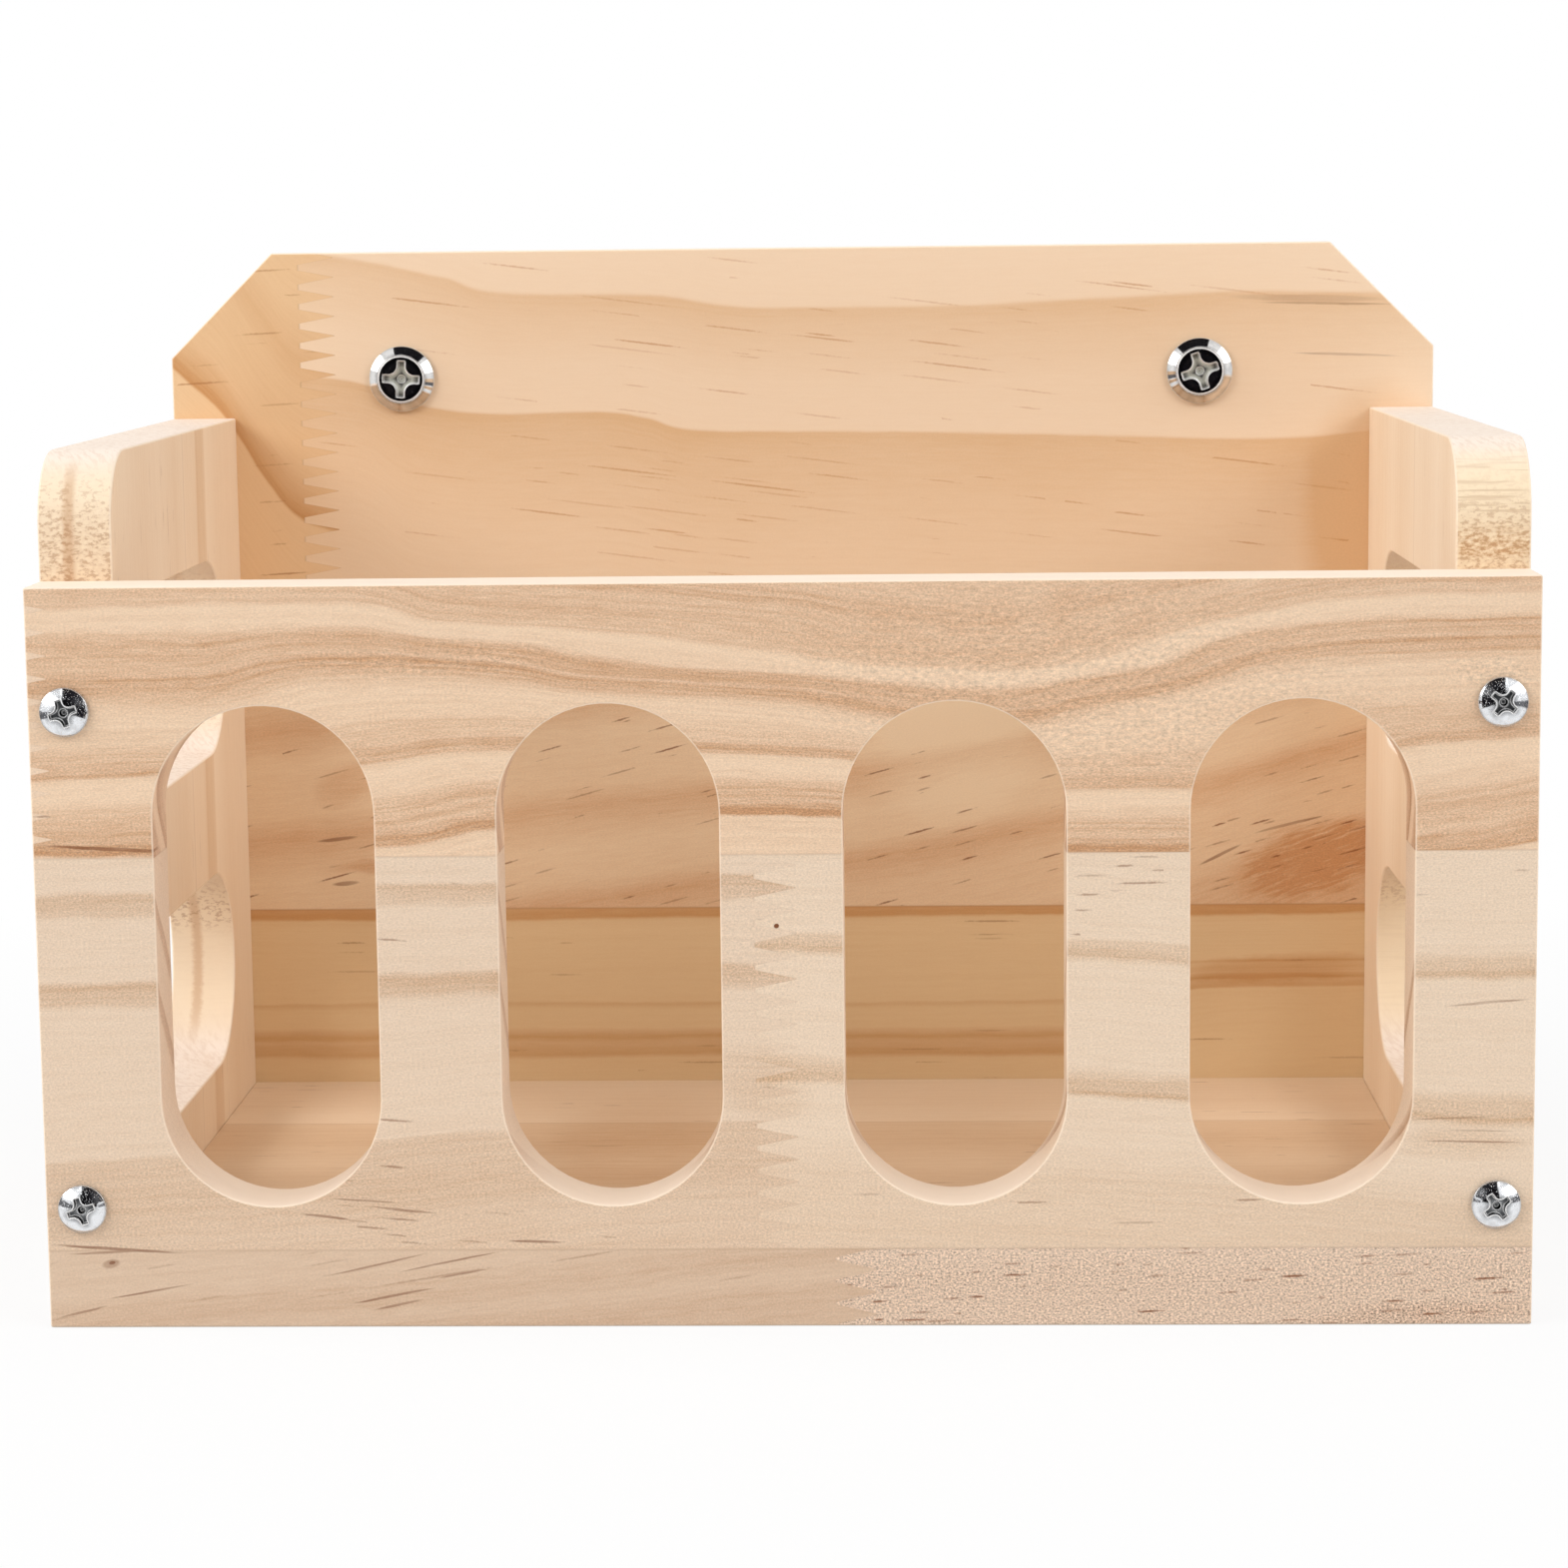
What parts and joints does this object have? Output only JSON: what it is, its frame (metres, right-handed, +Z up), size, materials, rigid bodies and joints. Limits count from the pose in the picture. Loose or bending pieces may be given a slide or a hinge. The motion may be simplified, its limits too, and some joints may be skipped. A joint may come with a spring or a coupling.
{
  "type": "hay feeder box",
  "caption": "Open-topped wooden hay box with a slotted front, slotted sides and a tall back board that bolts to a cage.",
  "frame": {"origin": "middle of the base, on the surface the box stands on", "axes": "+X to the right across the front, +Y from the front to the back, +Z up"},
  "size_m": [0.2548, 0.1722, 0.18],
  "materials": {
    "pine": "bare sanded pine, edge-glued and finger-jointed staves",
    "zinc_screw": "bright zinc plating",
    "bright_bolt": "bright nickel plating",
    "zinc_washer": "zinc plating, satin",
    "zinc_nut": "zinc-plated casting, satin"
  },
  "bodies": {
    "feeder_box": {"front_panel": "pine", "back_panel": "pine", "left_side_panel": "pine", "right_side_panel": "pine", "floor_panel": "pine", "front_screw_lower_left": "zinc_screw", "back_screw_lower_left": "zinc_screw", "front_screw_upper_left": "zinc_screw", "back_screw_upper_left": "zinc_screw", "floor_screw_left_front": "zinc_screw", "floor_screw_left_rear": "zinc_screw", "front_screw_lower_right": "zinc_screw", "back_screw_lower_right": "zinc_screw", "front_screw_upper_right": "zinc_screw", "back_screw_upper_right": "zinc_screw", "floor_screw_right_front": "zinc_screw", "floor_screw_right_rear": "zinc_screw", "left_clamp_bolt": "bright_bolt", "right_clamp_bolt": "bright_bolt", "left_bolt_collar": "bright_bolt", "right_bolt_collar": "bright_bolt"},
    "left_washer": {"left_clamp_washer": "zinc_washer"},
    "left_nut": {"left_wing_nut": "zinc_nut"},
    "right_washer": {"right_clamp_washer": "zinc_washer"},
    "right_nut": {"right_wing_nut": "zinc_nut"}
  },
  "joints": [
    {"name": "left_washer_slide", "type": "slide", "parent": "feeder_box", "child": "left_washer", "axis": [0, 1, 0], "range_m": [0, 0.01]},
    {"name": "left_nut_spin", "type": "hinge", "parent": "left_washer", "child": "left_nut", "pos_m": [-0.079, 0.0765, 0.155], "axis": [0, 1, 0], "range_deg": [0, 4500]},
    {"name": "right_washer_slide", "type": "slide", "parent": "feeder_box", "child": "right_washer", "axis": [0, 1, 0], "range_m": [0, 0.01]},
    {"name": "right_nut_spin", "type": "hinge", "parent": "right_washer", "child": "right_nut", "pos_m": [0.079, 0.0765, 0.155], "axis": [0, 1, 0], "range_deg": [0, 4500]}
  ],
  "couplings": [
    {"joint": "left_washer_slide", "follows": "left_nut_spin", "m_per_rad": 0.00012732},
    {"joint": "right_washer_slide", "follows": "right_nut_spin", "m_per_rad": 0.00012732}
  ]
}
